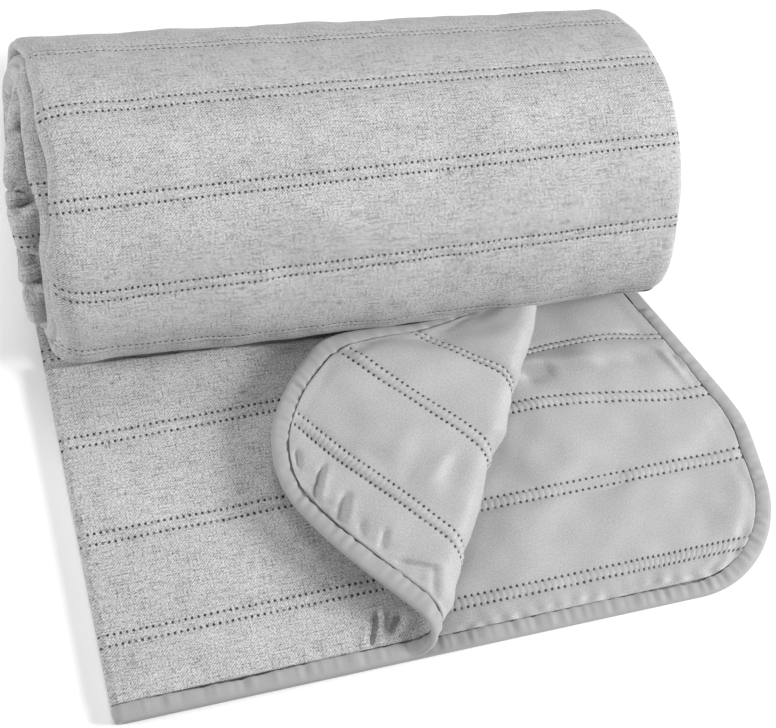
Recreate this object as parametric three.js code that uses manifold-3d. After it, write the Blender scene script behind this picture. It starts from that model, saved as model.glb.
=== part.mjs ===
// A quilted bedspread folded in half lengthwise, rolled up from its far end, with the near end left lying
// flat and the upper layer's corner turned back to show the lining.
// The sheet is described by u across the cloth and v away from its bound end: u is negative on the lower
// layer, zero on the left fold and positive on the upper layer.
// Millimetres, +Z up, +X along the quilting rows.
import * as THREE from "three";
import Module from "manifold-3d";

// Where the part's origin lies, measured from the front left corner of the loose end
const ORIGIN_X = 203;
const ORIGIN_Y = 344;

// Cloth thickness
const FACE_T = 2.35;
const LINING_T = 1.6;
const PIECE_GAP = 0.3;
const EDGE_GAP = 0.8;
const FACE_PUFF = 2.2;
const LINING_PUFF = 1.3;

// Sheet outline
const LOWER_W = 485;
const UPPER_W = 426;
const CORNER_R = 74;
const SHEET_END = 284;
const TAPE_W = 12;
const TAPE_T = 4.9;

// Left fold: the lower layer's middle lies at LOWER_Z, the upper one's two fold radii above it
const LOWER_Z = FACE_T + PIECE_GAP / 2;
const FOLD_R = 3.6;

// Quilting rows: pairs of stitch lines, with the lower layer's rows nearer to the bound end
const ROW_FIRST = 53.4;
const ROW_PITCH = 69;
const ROW_GAP = 8;
const ROW_COUNT = 4;
const LOWER_ROW_SHIFT = -23.2;
const LOWER_ROW_RUN = 215;

// Turned-back corner: where the curl starts, its direction, its radius at the front and at the roll
const CURL_START_X = 192;
const CURL_ANGLE = THREE.MathUtils.degToRad(57.8);
const CURL_R_FRONT = 13;
const CURL_R_BACK = 10;
const CURL_RUN = 250;
const FLAP_TURN = THREE.MathUtils.degToRad(119.5);
const FLAP_TURN_RATE = THREE.MathUtils.degToRad(0.085);
const FLAP_REST = 9.6;
const FLAP_STRETCH = 0.16;
const FLAP_NARROW = 0.75;
const FLAP_SAG = 9;
const FLAP_LIFT = 13;
const FLAP_LIFT_X = -0.186;
const FLAP_LIFT_Y = -0.277;

// Roll: a low round section with a steep front that meets the floor in a tight corner. It lies a little askew,
// leans forwards and gets thinner to the right
const ROLL_Y = 344;
const ROLL_SLOPE = -0.0627;
const ROLL_HALF_W = 117;
const ROLL_AXIS_Z = 46.7;
const ROLL_TOP_H = 115.2;
const ROLL_TOP_POWER = 1.72;
const ROLL_FRONT_POWER = 3.8;
const ROLL_BACK_POWER = 2.6;
const ROLL_LEAN = -0.089;
const ROLL_TAPER = 0.00023;
const ROLL_MID_X = 203;
const ROLL_SIZE = 112;
const ROLL_DIP = 2.4;
// Row pairs round the roll, in degrees from the front: the front is 0, the top 90, the bottom 270
const ROLL_ROWS = [0, 33, 67, 99.5, 131.5, 164, 200, 236];
const RIM_ROUND = 5;
const TURN_PITCH = 12;

const smooth = (from, to, x) => THREE.MathUtils.smoothstep(x, from, to);

// Row shift on the lower layer, which lies a little askew
function rowShift(u) {
  return LOWER_ROW_SHIFT * smooth(0, LOWER_ROW_RUN, -u);
}

// Front channel of the sheet grid: share of its depth, how far the line follows the row shift, puff height
const FRONT_LINES = [
  { part: 0, follow: 0, puff: 0.25 },
  { part: 0.12, follow: 0.15, puff: 0.5 },
  { part: 0.32, follow: 0.35, puff: 0.85 },
  { part: 0.62, follow: 0.7, puff: 1 },
  { part: 0.86, follow: 0.92, puff: 0.7 },
];

// Lines of the sheet grid across the rows
function sheetLines(front) {
  const lines = [];
  for (const { part, follow, puff } of FRONT_LINES) {
    lines.push({ v: front + part * (ROW_FIRST - ROW_GAP / 2 - front), follow, puff });
  }
  for (let k = 0; k < ROW_COUNT; k += 1) {
    const row = ROW_FIRST + k * ROW_PITCH;
    lines.push({ v: row - ROW_GAP / 2, follow: 1, puff: 0 });
    lines.push({ v: row + ROW_GAP / 2, follow: 1, puff: 0 });
    if (k < ROW_COUNT - 1) {
      for (const [step, puff] of [[0.2, 0.75], [0.5, 1], [0.8, 0.75]]) {
        lines.push({ v: row + ROW_GAP / 2 + step * (ROW_PITCH - ROW_GAP), follow: 1, puff });
      }
    }
  }
  lines.push({ v: SHEET_END, follow: 0, puff: 0.4 });
  return lines;
}

// Narrowing of the lower layer towards the roll: a straight taper with a soft start
function lowerWidthScale(v) {
  const taper = (v - 122) / 102;
  return 1 - 0.05 * (taper + Math.hypot(taper, 0.12));
}

// Distance along u at which the curl starts, its radius and the length of cloth in it, on the line at v
function curlAt(v) {
  const radius = THREE.MathUtils.lerp(CURL_R_FRONT, CURL_R_BACK, smooth(0, CURL_RUN, v));
  return {
    start: CURL_START_X + v / Math.tan(CURL_ANGLE),
    radius,
    length: (Math.PI * radius) / Math.sin(CURL_ANGLE),
  };
}

// Middle surface of the sheet
function middle(u, v) {
  const bend = (Math.PI * FOLD_R) / 2;
  const upperZ = LOWER_Z + 2 * FOLD_R;
  if (u < -bend) {
    return new THREE.Vector3(FOLD_R + (-u - bend) * lowerWidthScale(v), v, LOWER_Z);
  }
  if (u <= bend) {
    const turn = u / FOLD_R;
    return new THREE.Vector3(FOLD_R * (1 - Math.cos(turn)), v, LOWER_Z + FOLD_R * (1 + Math.sin(turn)));
  }
  const flatX = FOLD_R + u - bend;
  const curl = curlAt(v);
  const into = flatX - curl.start;
  if (into <= 0) {
    return new THREE.Vector3(flatX, v, upperZ);
  }
  const across = new THREE.Vector2(Math.sin(CURL_ANGLE), -Math.cos(CURL_ANGLE));
  const along = new THREE.Vector2(Math.cos(CURL_ANGLE), Math.sin(CURL_ANGLE));
  const used = Math.min(into, curl.length);
  const turned = (used * Math.sin(CURL_ANGLE)) / curl.radius;
  const slid = used * Math.cos(CURL_ANGLE);
  const out = curl.radius * Math.sin(turned);
  const x = curl.start + along.x * slid + across.x * out;
  const y = v + along.y * slid + across.y * out;
  const rise = curl.radius * (1 - Math.cos(turned));
  const left = into - used;
  if (left <= 0) {
    return new THREE.Vector3(x, y, upperZ + rise);
  }
  const heading = FLAP_TURN + FLAP_TURN_RATE * v;
  const height = THREE.MathUtils.lerp(rise, FLAP_REST, smooth(0, 120, left));
  const spread = 1 + FLAP_STRETCH * smooth(40, 150, v);
  const reach = left * spread * (1 - FLAP_NARROW * smooth(95, 235, v));
  const sag = FLAP_SAG * Math.sin(Math.PI * Math.min(1, left / 190)) * (1 - smooth(0, 60, v));
  const lift = FLAP_LIFT * smooth(10, 110, left) * (1 - smooth(90, 190, v));
  return new THREE.Vector3(
    x + reach * Math.cos(heading) - sag * Math.sin(heading) + FLAP_LIFT_X * lift,
    y + reach * Math.sin(heading) + sag * Math.cos(heading) + FLAP_LIFT_Y * lift,
    upperZ + height + lift,
  );
}

// Point of the sheet at height w above the middle surface, on its face side where w is positive
function place(u, v, w) {
  const step = 0.05;
  const du = middle(u + step, v).sub(middle(u - step, v));
  const dv = middle(u, v + step).sub(middle(u, v - step));
  const normal = du.cross(dv).normalize();
  return middle(u, v).addScaledVector(normal, w);
}

// Half width of the sheet on the line at v, inset from its bound edge, with the corner rounded
function halfWidth(full, inset, v) {
  const radius = CORNER_R - inset;
  const centre = CORNER_R - v;
  const room = centre > 0 ? Math.sqrt(Math.max(0, radius * radius - centre * centre)) : radius;
  return full - CORNER_R + room;
}

// Stations across the sheet on the line at v
function sheetStations({ v, follow }, inset) {
  const bend = (Math.PI * FOLD_R) / 2;
  const low = halfWidth(LOWER_W, inset, v + follow * LOWER_ROW_SHIFT);
  const up = halfWidth(UPPER_W, inset, v);
  const curl = curlAt(v);
  const start = curl.start - FOLD_R + bend;
  const done = start + curl.length;
  const stations = [];
  for (const part of [1, 0.97, 0.9, 0.78, 0.64, 0.5, 0.36, 0.22, 0.1, 0.03]) {
    stations.push(-bend - part * (low - bend));
  }
  for (const part of [-1, -0.5, 0, 0.5, 1]) {
    stations.push(part * bend);
  }
  for (const part of [0.06, 0.2, 0.4, 0.6, 0.8, 0.94]) {
    stations.push(bend + part * (start - bend));
  }
  for (let k = 0; k <= 8; k += 1) {
    stations.push(start + (k / 8) * curl.length);
  }
  const last = Math.max(up, done + 2);
  for (const part of [0.1, 0.25, 0.42, 0.6, 0.78, 0.92, 1]) {
    stations.push(done + part * (last - done));
  }
  return stations;
}

// Closed body from rows of points on two sides: the rim is walled round
function slab(near, far) {
  const rows = near.length;
  const cols = near[0].length;
  const points = [...near.flat(), ...far.flat()];
  const index = [];
  const at = (side, r, c) => side * rows * cols + r * cols + c;
  const quad = (a, b, c, d) => index.push(a, b, c, a, c, d);
  for (let r = 0; r < rows - 1; r += 1) {
    for (let c = 0; c < cols - 1; c += 1) {
      quad(at(0, r, c), at(0, r, c + 1), at(0, r + 1, c + 1), at(0, r + 1, c));
      quad(at(1, r, c), at(1, r + 1, c), at(1, r + 1, c + 1), at(1, r, c + 1));
    }
  }
  for (let c = 0; c < cols - 1; c += 1) {
    quad(at(0, 0, c), at(1, 0, c), at(1, 0, c + 1), at(0, 0, c + 1));
    quad(at(0, rows - 1, c), at(0, rows - 1, c + 1), at(1, rows - 1, c + 1), at(1, rows - 1, c));
  }
  for (let r = 0; r < rows - 1; r += 1) {
    quad(at(0, r, 0), at(0, r + 1, 0), at(1, r + 1, 0), at(1, r, 0));
    quad(at(0, r, cols - 1), at(1, r, cols - 1), at(1, r + 1, cols - 1), at(0, r + 1, cols - 1));
  }
  return { points, index };
}

// One cloth of the sheet: side is 1 for the face and -1 for the lining
function clothSheet(side) {
  const inset = TAPE_W + EDGE_GAP;
  const thick = side > 0 ? FACE_T : LINING_T;
  const puff = side > 0 ? FACE_PUFF : LINING_PUFF;
  const outer = [];
  const inner = [];
  for (const line of sheetLines(inset)) {
    const outerRow = [];
    const innerRow = [];
    for (const u of sheetStations(line, inset)) {
      const v = line.v + line.follow * rowShift(u);
      const onUpper = smooth(4, 30, u);
      const onLower = smooth(12, 60, -u);
      const flapUnderside = smooth(0.2, 1, (u - curlAt(v).start) / curlAt(v).length);
      const show = side > 0 ? onUpper * (1 - flapUnderside) : Math.max(onLower, onUpper);
      innerRow.push(place(u, v, (side * PIECE_GAP) / 2));
      outerRow.push(place(u, v, side * (PIECE_GAP / 2 + thick + puff * line.puff * show)));
    }
    outer.push(outerRow);
    inner.push(innerRow);
  }
  return side > 0 ? slab(outer, inner) : slab(inner, outer);
}

// Bound edge of the sheet in u and v, from the lower layer's end under the roll to the upper layer's
function boundEdge() {
  const steps = [];
  const corner = (full, sign, from, to) => {
    for (let k = 0; k <= 10; k += 1) {
      const turn = THREE.MathUtils.lerp(from, to, k / 10);
      const inward = [-sign * Math.cos(turn), Math.sin(turn)];
      const centre = [sign * (full - CORNER_R), CORNER_R];
      steps.push({ u: centre[0] - CORNER_R * inward[0], v: centre[1] - CORNER_R * inward[1], inward });
    }
  };
  const bend = (Math.PI * FOLD_R) / 2;
  for (const v of [SHEET_END, 260, 245, 230, 215, 200, 186, 172, 158, 144, 130, 115, 100, 88]) {
    steps.push({ u: -LOWER_W, v, inward: [1, 0] });
  }
  corner(LOWER_W, -1, 0, Math.PI / 2);
  const alongFold = [-bend, -bend / 2, 0, bend / 2, bend];
  for (const u of [-330, -240, -150, -70, -20, -10, ...alongFold, 10, 20, 60, 110, 150]) {
    steps.push({ u, v: 0, inward: [0, 1] });
  }
  const curl = curlAt(0);
  for (let k = 0; k <= 9; k += 1) {
    steps.push({ u: curl.start + (k / 9) * curl.length, v: 0, inward: [0, 1] });
  }
  for (const part of [0.2, 0.45, 0.72]) {
    const done = curl.start + curl.length;
    steps.push({ u: done + part * (UPPER_W - CORNER_R - done), v: 0, inward: [0, 1] });
  }
  corner(UPPER_W, 1, Math.PI / 2, 0);
  for (const v of [90, 104, 117, 130, 143, 156, 169, 182, 196, 212, 230, 256, SHEET_END]) {
    steps.push({ u: UPPER_W, v, inward: [-1, 0] });
  }
  return steps;
}

// Bound tape: a flat rounded section swept along the bound edge
function tape() {
  const half = TAPE_T / 2;
  const under = [[0, -0.35], [0.12, -0.9], [0.5, -1], [1, -0.86]];
  const over = under.map(([part, lift]) => [part, -lift]).reverse();
  const section = [...under, ...over];
  const rings = boundEdge().map((step) =>
    section.map(([part, lift]) => {
      const e = part * TAPE_W;
      return place(step.u + e * step.inward[0], step.v + e * step.inward[1], lift * half + 0.05);
    }),
  );
  const count = section.length;
  const index = [];
  for (let r = 0; r < rings.length - 1; r += 1) {
    for (let k = 0; k < count; k += 1) {
      const next = (k + 1) % count;
      index.push(r * count + k, r * count + next, (r + 1) * count + next);
      index.push(r * count + k, (r + 1) * count + next, (r + 1) * count + k);
    }
  }
  const last = (rings.length - 1) * count;
  for (let k = 1; k < count - 1; k += 1) {
    index.push(0, k + 1, k);
    index.push(last, last + k, last + k + 1);
  }
  return { points: rings.flat(), index };
}

// Radius of the roll's section at an angle in degrees: a superellipse with a power of its own above the axis,
// low in front and low at the back
function rollRadius(angle) {
  const t = THREE.MathUtils.degToRad(angle);
  const above = Math.sin(t) > 0;
  const lowPower = Math.cos(t) > 0 ? ROLL_FRONT_POWER : ROLL_BACK_POWER;
  const power = above ? ROLL_TOP_POWER : lowPower;
  const y = Math.abs(Math.cos(t)) / ROLL_HALF_W;
  const z = Math.abs(Math.sin(t)) / (above ? ROLL_TOP_H : ROLL_AXIS_Z);
  return (y ** power + z ** power) ** (-1 / power);
}

// Angles of the roll's section: the stitch lines of each row pair and three puffed lines between pairs
function rollAngles() {
  const half = THREE.MathUtils.radToDeg(ROW_GAP / 2 / ROLL_HALF_W);
  const angles = [];
  ROLL_ROWS.forEach((row, k) => {
    const next = ROLL_ROWS[k + 1];
    angles.push({ angle: row - half, dip: 1 });
    angles.push({ angle: row + half, dip: 1 });
    if (next === undefined) {
      return;
    }
    for (const [step, dip] of [[0.22, 0.25], [0.5, 0], [0.78, 0.25]]) {
      angles.push({ angle: row + half + step * (next - row - 2 * half), dip });
    }
  });
  for (const angle of [248, 258, 268, 278, 290, 302, 314, 324, 331, 337, 343, 350]) {
    angles.push({ angle, dip: 0 });
  }
  return angles;
}

// The same angle between -76 and 284 degrees, so that the ends meet under the roll
const wrap = (angle) => (angle > 284 ? angle - 360 : angle);

// Ends of the roll at an angle: low on the floor they follow the loose end's edges
function leftRim(angle) {
  const up = 9 * smooth(-50, -5, wrap(angle)) + 11 * smooth(25, 95, wrap(angle));
  return -3 + up - 20 * smooth(150, 240, wrap(angle));
}

function rightRim(angle) {
  return 434 + 3 * smooth(20, 70, wrap(angle)) - 3 * smooth(180, 250, wrap(angle));
}

// How far the end of the roll stands out, from the rim inwards: the inner turns slid out to the left
function leftEnd(depth, angle) {
  const turn = depth / TURN_PITCH + angle / 360 + 0.25;
  const t = THREE.MathUtils.degToRad(angle);
  const wave = Math.sin(3 * t + depth / 9);
  const raised = 7 + 13 * smooth(5, 75, wrap(angle)) * (1 - smooth(95, 150, wrap(angle)));
  const slid = raised * smooth(2, 26, depth) + 1.5 * wave * smooth(2, 14, depth);
  const edge = 6 * Math.sqrt(Math.abs(Math.sin(Math.PI * turn))) - 3;
  return slid + edge * smooth(1, 6, depth);
}

function rightEnd(depth, angle) {
  const turn = depth / TURN_PITCH - angle / 360;
  const edge = 5 * Math.sqrt(Math.abs(Math.sin(Math.PI * turn))) - 2;
  return 6 * smooth(0, 30, depth) + edge * smooth(1, 6, depth);
}

// Roll body, grown outwards by the given amount
function rollBody(grow) {
  const angles = rollAngles();
  const count = angles.length;
  const depths = [4, 8, 12, 17, 22, 27, 33, 45, 65];
  const rings = [];
  const ring = (part, inset, push) => {
    rings.push(
      angles.map(({ angle, dip }) => {
        const t = THREE.MathUtils.degToRad(angle);
        const x = THREE.MathUtils.lerp(leftRim(angle) - grow, rightRim(angle) + grow, part) + push(angle);
        const fromMid = x - ROLL_MID_X;
        const thin = 1 - ROLL_TAPER * fromMid;
        const full = rollRadius(angle) * thin + grow - ROLL_DIP * dip;
        const radius = full * (1 - inset / ROLL_SIZE);
        const up = radius * Math.sin(t);
        const y = ROLL_Y + ROLL_SLOPE * fromMid - radius * Math.cos(t) + ROLL_LEAN * up;
        const z = ROLL_AXIS_Z * thin + up;
        return new THREE.Vector3(x, y, Math.max(-grow, z));
      }),
    );
  };
  for (const depth of [...depths].reverse()) {
    ring(0, depth, (angle) => -leftEnd(depth, angle));
  }
  ring(0, RIM_ROUND * 0.3, () => 0);
  for (const part of [0.012, 0.05, 0.15, 0.27, 0.39, 0.51, 0.63, 0.75, 0.86, 0.95, 0.988]) {
    ring(part, 0, () => 0);
  }
  ring(1, RIM_ROUND * 0.4, () => 0);
  for (const depth of depths) {
    ring(1, depth, (angle) => rightEnd(depth, angle));
  }
  const points = rings.flat();
  const index = [];
  for (let r = 0; r < rings.length - 1; r += 1) {
    for (let k = 0; k < count; k += 1) {
      const next = (k + 1) % count;
      index.push(r * count + k, (r + 1) * count + k, (r + 1) * count + next);
      index.push(r * count + k, (r + 1) * count + next, r * count + next);
    }
  }
  const middleOf = (list) => {
    const sum = new THREE.Vector3();
    list.forEach((p) => sum.add(p));
    return sum.divideScalar(list.length);
  };
  const leftTip = points.push(middleOf(rings[0])) - 1;
  const rightTip = points.push(middleOf(rings[rings.length - 1])) - 1;
  const last = (rings.length - 1) * count;
  for (let k = 0; k < count; k += 1) {
    const next = (k + 1) % count;
    index.push(leftTip, k, next);
    index.push(rightTip, last + next, last + k);
  }
  return { points, index };
}

// Joins and cuts
const wasm = await Module();
wasm.setup();

function solid({ points, index }) {
  const vertProperties = new Float32Array(points.flatMap((p) => [p.x - ORIGIN_X, p.y - ORIGIN_Y, p.z]));
  const triVerts = new Uint32Array(index);
  return new wasm.Manifold(new wasm.Mesh({ numProp: 3, vertProperties, triVerts }));
}

function mesh(name, body, colour, roughness) {
  const { vertProperties, triVerts, numProp } = body.getMesh();
  const positions = new Float32Array((vertProperties.length / numProp) * 3);
  for (let k = 0; k < positions.length / 3; k += 1) {
    positions.set(vertProperties.subarray(k * numProp, k * numProp + 3), 3 * k);
  }
  const geometry = new THREE.BufferGeometry();
  geometry.setAttribute("position", new THREE.BufferAttribute(positions, 3));
  geometry.setIndex(new THREE.BufferAttribute(triVerts, 1));
  geometry.computeVertexNormals();
  const material = new THREE.MeshStandardMaterial({ color: colour, roughness, metalness: 0 });
  const piece = new THREE.Mesh(geometry, material);
  piece.name = name;
  return piece;
}

const roll = solid(rollBody(0));
const rollRoom = solid(rollBody(PIECE_GAP + 0.1));
const face = roll.add(solid(clothSheet(1)));
const lining = solid(clothSheet(-1)).subtract(rollRoom);
const binding = solid(tape()).subtract(rollRoom);

const bedspread = new THREE.Group();
bedspread.add(mesh("face_cloth", face, 0xb9b9b9, 0.95));
bedspread.add(mesh("lining_cloth", lining, 0xbdbdbd, 0.6));
bedspread.add(mesh("binding", binding, 0xb4b4b4, 0.7));

export default bedspread;
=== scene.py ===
# %% [markdown]
# # A quilted bedspread, half rolled up
#
# This lesson dresses a solid model of a bedspread as real cloth. The bedspread is folded in half along
# its length with the linen side out, rolled up from its far end, and its near end lies flat with one
# corner turned back to show the smooth lining. The solids are already packed, so the first step loads
# them as a fixed frame and every piece below is worked out in it.

import bpy
import numpy as np
from mathutils import Matrix


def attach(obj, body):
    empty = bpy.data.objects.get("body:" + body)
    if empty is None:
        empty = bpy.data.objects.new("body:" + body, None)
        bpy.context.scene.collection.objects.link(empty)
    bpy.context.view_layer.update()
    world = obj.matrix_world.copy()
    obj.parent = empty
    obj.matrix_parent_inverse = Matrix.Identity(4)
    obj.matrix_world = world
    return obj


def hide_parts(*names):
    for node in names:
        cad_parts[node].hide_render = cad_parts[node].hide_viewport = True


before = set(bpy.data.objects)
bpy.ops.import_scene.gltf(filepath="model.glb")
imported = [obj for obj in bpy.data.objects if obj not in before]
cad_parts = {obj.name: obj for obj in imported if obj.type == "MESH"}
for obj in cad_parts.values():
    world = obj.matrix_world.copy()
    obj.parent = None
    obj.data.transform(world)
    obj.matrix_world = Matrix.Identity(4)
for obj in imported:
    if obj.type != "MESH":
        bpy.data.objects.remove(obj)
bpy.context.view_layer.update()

# %% [markdown]
# ## The camera
#
# The picture was taken from high up, from the left of the cloth, with the camera turned a little about
# its own axis. Its place and its three axes were solved from the quilting rows, which are parallel and
# evenly spaced on the real cloth. A rotation matrix whose columns are those axes puts the camera there in
# one step, which is simpler than guessing three angles.

# %% Make the camera
IMAGE_W = 776
FOCAL_PX = 1800.0
SENSOR_MM = 36.0
CAMERA_AT = (-0.2516, -0.5499, 1.1795)
CAMERA_AXES = np.array([
    (0.9596, -0.2408, 0.1456),
    (0.1741, 0.9145, 0.3652),
    (-0.2211, -0.3251, 0.9195),
])


def put(name, data):
    """A new object in the scene, at the origin."""
    thing = bpy.data.objects.new(name, data)
    bpy.context.scene.collection.objects.link(thing)
    return thing


camera = put("camera", bpy.data.cameras.new("camera"))
camera.matrix_world = Matrix.Translation(CAMERA_AT) @ Matrix(CAMERA_AXES.T.tolist()).to_4x4()
camera.data.sensor_width = SENSOR_MM
camera.data.lens = FOCAL_PX * SENSOR_MM / IMAGE_W
camera.data.clip_start = 0.01
bpy.context.scene.camera = camera
print("camera lens", round(camera.data.lens, 2), "mm")

# %% [markdown]
# ## Tools for surfaces
#
# Every piece is a surface worked out as whole numpy arrays. Lengths are in millimetres from the front
# left corner of the loose end, because that is how the cloth was measured, and one function moves them
# into the frame, in metres. A closed piece is either a slab, which is two grids joined round their rim,
# or a tube, which is a closed profile carried along a path and capped at both ends.

# %% Helpers for arrays
ORIGIN = np.array([203.0, 344.0, 0.0])
MM = 0.001
WAVES = 7


def smooth(low, high, x):
    """0 below low, 1 above high, and a soft S between: t squared times (3 - 2t)."""
    t = np.clip((x - low) / (high - low), 0.0, 1.0)
    return t * t * (3.0 - 2.0 * t)


def lerp(a, b, t):
    """a at t = 0 and b at t = 1, along a straight line."""
    return a + (b - a) * t


def soft_noise(x, y, wave, seed):
    """A smooth random field: a sum of sine waves of about one wavelength, in seeded random directions."""
    draw = np.random.default_rng(seed)
    total = 0.0
    for _ in range(WAVES):
        heading, phase = draw.uniform(0, 2 * np.pi, 2)
        length = wave * draw.uniform(0.7, 1.5)
        total = total + np.sin(2 * np.pi * (x * np.cos(heading) + y * np.sin(heading)) / length + phase)
    return total / np.sqrt(WAVES / 2)


print("soft step at a quarter", float(smooth(0, 1, 0.25)))


# %% Helpers for meshes
def new_piece(name, points, quads, uv_maps, material):
    """A mesh object from points in millimetres, quads of point numbers and one UV pair per point and map."""
    mesh = bpy.data.meshes.new(name)
    flat = ((points.reshape(-1, 3) - ORIGIN) * MM).astype(np.float32)
    quads = quads.reshape(-1, 4)
    mesh.vertices.add(len(flat))
    mesh.vertices.foreach_set("co", flat.ravel())
    mesh.loops.add(quads.size)
    mesh.loops.foreach_set("vertex_index", quads.ravel().astype(np.int32))
    mesh.polygons.add(len(quads))
    mesh.polygons.foreach_set("loop_start", np.arange(0, quads.size, 4, dtype=np.int32))
    mesh.update(calc_edges=True)
    mesh.validate()
    mesh.shade_smooth()
    for map_name, uv in uv_maps.items():
        layer = mesh.uv_layers.new(name=map_name)
        layer.data.foreach_set("uv", uv.reshape(-1, 2)[quads.ravel()].astype(np.float32).ravel())
    piece = put(name, mesh)
    mesh.materials.append(material)
    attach(piece, "root")
    print(name, len(quads) * 2, "triangles")
    return piece


def slab_quads(rows, cols):
    """Quads of two rows x cols grids, the second one numbered after the first, walled round their rim."""
    at = np.arange(rows * cols).reshape(rows, cols)
    a, b, c, d = at[:-1, :-1], at[:-1, 1:], at[1:, 1:], at[1:, :-1]
    top = np.stack([a, b, c, d], -1).reshape(-1, 4)
    under = np.stack([a, d, c, b], -1).reshape(-1, 4) + rows * cols
    rim = np.concatenate([at[0, :-1], at[:-1, -1], at[-1, :0:-1], at[:0:-1, 0]])
    after = np.roll(rim, -1)
    wall = np.stack([rim, rim + rows * cols, after + rows * cols, after], -1)
    return np.concatenate([top, under, wall])


def tube_quads(steps, ring):
    """Quads of a closed ring of points carried along steps, each end closed by folding the ring flat."""
    at = np.arange(steps * ring).reshape(steps, ring)
    nxt = np.roll(at, -1, axis=1)
    side = np.stack([at[:-1], nxt[:-1], nxt[1:], at[1:]], -1).reshape(-1, 4)
    half = ring // 2
    caps = []
    for end, flip in ((at[0], True), (at[-1], False)):
        near, far = end[:half], end[::-1][:half]
        cap = np.stack([near[:-1], near[1:], far[1:], far[:-1]], -1)
        caps.append(cap[:, ::-1] if flip else cap)
    return np.concatenate([side, *caps])


print("quads of a 3 x 3 slab", len(slab_quads(3, 3)))

# %% [markdown]
# ## The cloth's own coordinates
#
# A place on the loose end is named by u across the cloth and v away from its bound end. u is negative on
# the lower layer, zero on the left fold and positive on the upper layer. One function gives the middle
# surface for any u and v: flat, then half round the left fold, then flat again on top, and past a
# slanting line the upper layer curls over like the page of a book and lies back on itself. Nearly the
# same numbers made the solids, so the cloth lies where they are. Only the free edge of the turned-back
# corner stands a little higher here.

# %% The middle surface of the loose end
FACE_T, LINING_T, PIECE_GAP, EDGE_GAP = 2.35, 1.6, 0.3, 0.3
LOWER_W, UPPER_W, CORNER_R, SHEET_END = 485.0, 426.0, 74.0, 284.0
TAPE_W, TAPE_T = 12.0, 4.9
CLOTH_INSET = TAPE_W + EDGE_GAP
FOLD_R = 3.6
LOWER_Z = FACE_T + PIECE_GAP / 2
UPPER_Z = LOWER_Z + 2 * FOLD_R
BEND = np.pi * FOLD_R / 2
TAPER_FROM, TAPER_RUN, TAPER_SHARE, TAPER_SOFT = 122.0, 102.0, 0.05, 0.12
CURL_START, CURL_ANGLE = 192.0, np.radians(57.8)
CURL_R_FRONT, CURL_R_BACK, CURL_RUN = 13.0, 10.0, 250.0
FLAP_TURN, FLAP_TURN_RATE = np.radians(119.5), np.radians(0.085)
FLAP_REST, FLAP_REST_RUN = 9.6, 120.0
FLAP_SAG, FLAP_SAG_RUN, FLAP_SAG_END = 9.0, 190.0, 60.0
FLAP_STRETCH, FLAP_NARROW = 0.16, 0.75
FLAP_LIFT, FLAP_LIFT_X, FLAP_LIFT_Y, FLAP_LIFT_RUN = 13.0, -0.186, -0.277, 85.0
NIP_Y, NIP_SLOPE, NIP_VIEW, NIP_PRESS = 233.0, -0.072, 0.354, 0.86


def curl_at(v):
    """Start of the curl along u, its radius, and the length of cloth in its half turn, on the line at v."""
    radius = lerp(CURL_R_FRONT, CURL_R_BACK, smooth(0, CURL_RUN, v))
    return CURL_START + v / np.tan(CURL_ANGLE), radius, np.pi * radius / np.sin(CURL_ANGLE)


def flap_spread(v):
    """How far the turned-back corner is drawn out along u at v: more at first, less at the roll."""
    return (1 + FLAP_STRETCH * smooth(40, 150, v)) * (1 - FLAP_NARROW * smooth(95, 235, v))


def lower_layer(u, v):
    """Flat on the floor, drawn in towards the roll by a straight taper with a soft start."""
    taper = (v - TAPER_FROM) / TAPER_RUN
    x = FOLD_R + (-u - BEND) * (1 - TAPER_SHARE * (taper + np.hypot(taper, TAPER_SOFT)))
    return np.stack([x, v, np.full_like(x, LOWER_Z)], -1)


def left_fold(u, v):
    """A half circle of radius FOLD_R from the lower layer up to the upper one."""
    bent = np.clip(u / FOLD_R, -np.pi / 2, np.pi / 2)
    return np.stack([FOLD_R * (1 - np.cos(bent)), v, LOWER_Z + FOLD_R * (1 + np.sin(bent))], -1)


def upper_layer(u, v):
    """Flat, then a half turn round a slanting cylinder, then straight on along a heading that turns with v.

    The turned-back part stays a little stiff, so its free edge stands up from the layer below.
    """
    start, radius, length = curl_at(v)
    flat = FOLD_R + u - BEND
    into = np.maximum(flat - start, 0.0)
    used = np.minimum(into, length)
    turned = used * np.sin(CURL_ANGLE) / radius
    slid, out, rise = used * np.cos(CURL_ANGLE), radius * np.sin(turned), radius * (1 - np.cos(turned))
    left = into - used
    heading = FLAP_TURN + FLAP_TURN_RATE * v
    height = np.where(left > 0, lerp(rise, FLAP_REST, smooth(0, FLAP_REST_RUN, left)), rise)
    reach = left * flap_spread(v)
    sag = FLAP_SAG * np.sin(np.pi * np.minimum(1, left / FLAP_SAG_RUN)) * (1 - smooth(0, FLAP_SAG_END, v))
    along_x, along_y = np.cos(CURL_ANGLE), np.sin(CURL_ANGLE)
    x = np.minimum(flat, start) + along_x * slid + along_y * out
    y = v + along_y * slid - along_x * out
    lift = FLAP_LIFT * smooth(0, FLAP_LIFT_RUN, left) * (1 - smooth(90, 190, v))
    x = x + reach * np.cos(heading) - sag * np.sin(heading) + FLAP_LIFT_X * lift
    y = y + reach * np.sin(heading) + sag * np.cos(heading) + FLAP_LIFT_Y * lift
    return np.stack([x, y, UPPER_Z + height + lift], -1)


def middle(u, v):
    """The lower layer, the left fold and the upper layer, chosen by u."""
    u, v = np.broadcast_arrays(np.asarray(u, float), np.asarray(v, float))
    on_top = np.where((u <= BEND)[..., None], left_fold(u, v), upper_layer(u, v))
    return np.where((u < -BEND)[..., None], lower_layer(u, v), on_top)


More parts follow.
